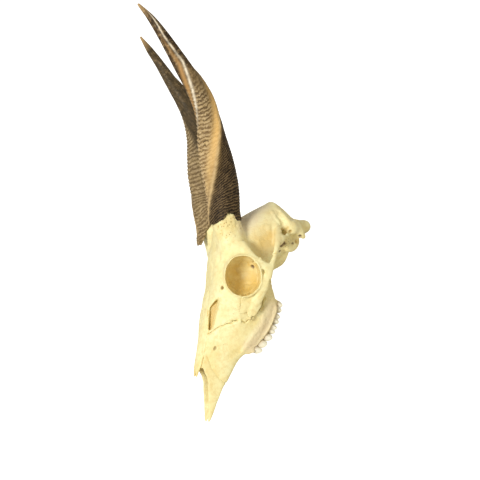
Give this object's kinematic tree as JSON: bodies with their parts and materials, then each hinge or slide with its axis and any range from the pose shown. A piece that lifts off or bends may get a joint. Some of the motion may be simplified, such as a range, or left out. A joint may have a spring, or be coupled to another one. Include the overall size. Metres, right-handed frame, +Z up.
{
  "type": "bushbuck skull",
  "caption": "Clean antelope skull without its lower jaw, with two backswept spiral horns on short bone stumps, lying upright on its cheek teeth and condyles.",
  "frame": {"origin": "centre of the bounding box's floor face, on the floor that the teeth and condyles rest on", "axes": "+X the animal's left, +Y towards the back of the skull and along the horns' sweep, +Z up"},
  "size_m": [0.1218, 0.3604, 0.2607],
  "materials": {
    "bone": "dry cleaned bone, matt to faintly waxy",
    "horn_sheath": "ridged dry horn with a dull sheen"
  },
  "bodies": {
    "root": {"cranium": "bone", "horn_left": "horn_sheath", "horn_right": "horn_sheath", "maxilla_left": "bone", "maxilla_right": "bone", "premaxilla_left": "bone", "premaxilla_right": "bone", "nasal_left": "bone", "nasal_right": "bone", "jugal_left": "bone", "jugal_right": "bone"}
  },
  "joints": []
}
